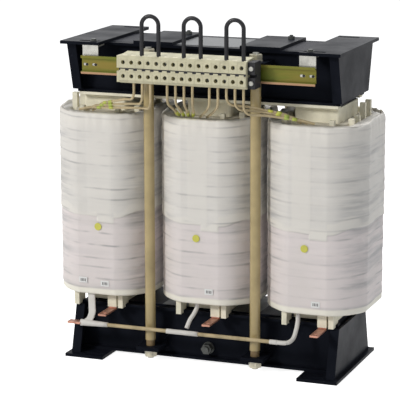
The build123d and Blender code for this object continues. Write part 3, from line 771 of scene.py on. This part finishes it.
terminalBoxes("terminalGrooveShade", [
    ((centres[0] - half + strip["endGap"], centres[-1] + half - strip["endGap"]),
     (front - strip["proud"], front + strip["deep"]),
     (strip["low"], strip["high"]))], "grey_plastic")
terminalBoxes("terminalTeeth", [
    ((x - strip["toothWide"] / 2, x + strip["toothWide"] / 2),
     (front - strip["toothProud"], front + strip["deep"]),
     (strip["low"] - strip["toothLow"],
      strip["low"] + strip["toothHigh"] + strip["toothSpread"] * random.random()))
    for x in centres], "terminal_plastic")
terminalBoxes("markerTabs", [
    ((x - strip["tabWide"] / 2, x + strip["tabWide"] / 2), (strip["tabFrom"], strip["tabTo"]),
     (terminal["top"], terminal["top"] + strip["tabHigh"])) for x in centres], "cream_board")
terminalBoxes("markerSlotShade", [
    ((x - half + strip["slotGap"], x + half - strip["slotGap"]), (strip["tabTo"], strip["slotTo"]),
     (terminal["top"], terminal["top"] + strip["slotHigh"])) for x in centres], "grey_plastic")
print("terminal strip finished")

# hexagon heads at the rear ends of the cross plates, with a stub of thread
rearBolts = {"places": [(-0.083, 0.0474), (0.1279, 0.0479)], "base": 0.627,
             "head": (0.0070, 0.0050, 6), "stub": (0.0035, 0.0075, 16)}      # radius, height, sides
bolts = []
for x, y in rearBolts["places"]:
    for radius, tall, sides in (rearBolts["head"], rearBolts["stub"]):
        bolts.append(stack([ring(Vector((x, y, z)), radius, sides, xAxis, yAxis)
                            for z in (rearBolts["base"], rearBolts["base"] + tall)]))
addMesh("crossPlateBolts", *joined(bolts), "zinc", "dullZinc", smooth=False)

# marker sleeves on the leads: terminal and where the lead meets its coil, from the coil's centre
markers = {
    "long": 0.009, "radius": 0.0032, "sides": 14, "rim": 0.488,
    "outerStarts": (0.55, 0.78), "middleStarts": (0.3, 0.62),
    "left": [(1, -0.010), (2, -0.024), (3, -0.038)],
    "right": [(12, -0.019), (13, -0.007), (14, 0.007)],
    "middle": [(5, -0.046), (6, -0.037), (7, -0.028), (8, -0.019)],
    "loomRise": (0.035, 0.02), "loomY": (-0.137, -0.112), "loomX": (0.03, 0.026),
    "loomStep": (0.003, 0.008, 0.005), "middleRise": (0.018, 0.0028), "middleY": (-0.126, -0.097),
}


def outerRun(side, n, k, end):                           # the part of an outer lead that is marked
    turn, goal = (-1 if side == "left" else 1), coilCentres[side] + end
    aside, fall, lesserFall = (n * step for step in markers["loomStep"])
    (xFrom, xTo), (yFrom, yTo) = markers["loomX"], markers["loomY"]
    zFrom, zTo = markers["loomRise"]
    return (Vector((terminalX(k) + turn * xFrom, yFrom + aside, markers["rim"] + zFrom - fall)),
            Vector((goal - turn * xTo, yTo + aside, markers["rim"] + zTo - lesserFall)))


def middleRun(k, end):
    (yFrom, yTo), (zFrom, zTo) = markers["middleY"], markers["middleRise"]
    return (Vector(((terminalX(k) + end) / 2, yFrom, markers["rim"] + zFrom)),
            Vector((end, yTo, markers["rim"] + zTo)))


for side in ("left", "right", "middle"):
    for n, (k, end) in enumerate(markers[side]):
        a, b = middleRun(k, end) if side == "middle" else outerRun(side, n, k, end)
        starts = markers["middleStarts"] if side == "middle" else markers["outerStarts"]
        for m, start in enumerate(starts):
            ends = [a.lerp(b, start), a.lerp(b, start + markers["long"] / (b - a).length)]
            tube(f"leadMarker_{side}_{n}_{m}", ends, markers["radius"], "tan_sleeve", "markerGreen",
                 sides=markers["sides"])
print("lead markers placed")

# floor, world, lights
studio = {"floorHalf": 6.0, "floorShade": 0.82, "floorGlow": 0.90, "ambient": 0.20,
          "ambientColour": (0.93, 0.96, 1.0)}
lights = {
    "key": {"place": (-2.9, -4.3, 3.1), "target": (0, 0, 0.30), "size": 1.1, "power": 182,
            "colour": (1.0, 0.985, 0.96)},
    "top": {"place": (0.2, 1.2, 3.0), "target": (0, 0, 0.4), "size": 1.8, "power": 52,
            "colour": (1, 1, 1)},
    "side": {"place": (3.4, -0.6, 1.4), "target": (0, 0, 0.35), "size": 1.4, "power": 12,
             "colour": (0.95, 0.97, 1.0)},
}


def seenMask(tree):                                      # where the backdrop itself is seen
    path = addNode(tree, "ShaderNodeLightPath")
    mask = path.outputs["Is Camera Ray"]
    for label in ("Is Glossy Ray", "Is Transmission Ray"):
        mask = mathNode(tree, "MAXIMUM", mask, path.outputs[label])
    return mask


def makeFloor():
    size, shade = studio["floorHalf"], studio["floorShade"]
    mesh = bpy.data.meshes.new("floor")
    corners = [(-size, -size, 0), (size, -size, 0), (size, size, 0), (-size, size, 0)]
    mesh.from_pydata(corners, [], [(0, 1, 2, 3)])
    floor = bpy.data.objects.new("floor", mesh)
    bpy.context.scene.collection.objects.link(floor)
    material = bpy.data.materials.new("paleFloor")
    tree = newTree(material)
    out = addNode(tree, "ShaderNodeOutputMaterial")
    diffuse = setIn(addNode(tree, "ShaderNodeBsdfDiffuse"), Color=(shade, shade, shade, 1))
    glow = setIn(addNode(tree, "ShaderNodeEmission"), Color=(1, 1, 1, 1))
    total = addNode(tree, "ShaderNodeAddShader")
    strength = mathNode(tree, "MULTIPLY", seenMask(tree), studio["floorGlow"])
    wire(tree, strength, glow.inputs["Strength"])
    wire(tree, diffuse.outputs[0], total.inputs[0])
    wire(tree, glow.outputs[0], total.inputs[1])
    wire(tree, total.outputs[0], out.inputs[0])
    mesh.materials.append(material)


def makeWorld():
    world = bpy.data.worlds.new("studio")
    bpy.context.scene.world = world
    tree = newTree(world)
    out = addNode(tree, "ShaderNodeOutputWorld")
    soft = setIn(addNode(tree, "ShaderNodeBackground"), Color=(*studio["ambientColour"], 1),
                 Strength=studio["ambient"])
    seen = setIn(addNode(tree, "ShaderNodeBackground"), Color=(1, 1, 1, 1), Strength=1.0)
    mix = addNode(tree, "ShaderNodeMixShader")
    wire(tree, seenMask(tree), mix.inputs[0])
    wire(tree, soft.outputs[0], mix.inputs[1])
    wire(tree, seen.outputs[0], mix.inputs[2])
    wire(tree, mix.outputs[0], out.inputs[0])


def areaLight(name, place, target, size, power, colour):
    data = bpy.data.lights.new(name, "AREA")
    data.size = size
    data.energy = power
    data.color = colour
    lamp = bpy.data.objects.new(name, data)
    bpy.context.scene.collection.objects.link(lamp)
    lamp.location = place
    lamp.rotation_euler = (Vector(target) - Vector(place)).to_track_quat("-Z", "Y").to_euler()


for name, light in lights.items():
    areaLight(name, **light)
makeFloor()
makeWorld()

cameraSetup = {"azimuth": 21.08, "elevation": 12.19, "roll": -0.16, "distance": 3.9303,
               "target": (-0.04244, 0, 0.30744), "lens": 180.45, "sensor": 36}


def makeCamera():
    azimuth = math.radians(cameraSetup["azimuth"])
    elevation = math.radians(cameraSetup["elevation"])
    roll, level = math.radians(cameraSetup["roll"]), math.cos(elevation)
    backward = Vector((math.sin(azimuth) * level, -math.cos(azimuth) * level, math.sin(elevation)))
    right = Vector((0, 0, 1)).cross(backward).normalized()
    up = backward.cross(right)
    right, up = (math.cos(roll) * right + math.sin(roll) * up,
                 math.cos(roll) * up - math.sin(roll) * right)
    data = bpy.data.cameras.new("camera")
    data.lens = cameraSetup["lens"]
    data.sensor_width = cameraSetup["sensor"]
    camera = bpy.data.objects.new("camera", data)
    bpy.context.scene.collection.objects.link(camera)
    place = Vector(cameraSetup["target"]) + backward * cameraSetup["distance"]
    turned = Matrix((right, up, backward)).transposed().to_4x4()
    camera.matrix_world = Matrix.Translation(place) @ turned
    bpy.context.scene.camera = camera


makeCamera()
bpy.context.scene.view_settings.view_transform = "Standard"
print("stage, lights and camera set")
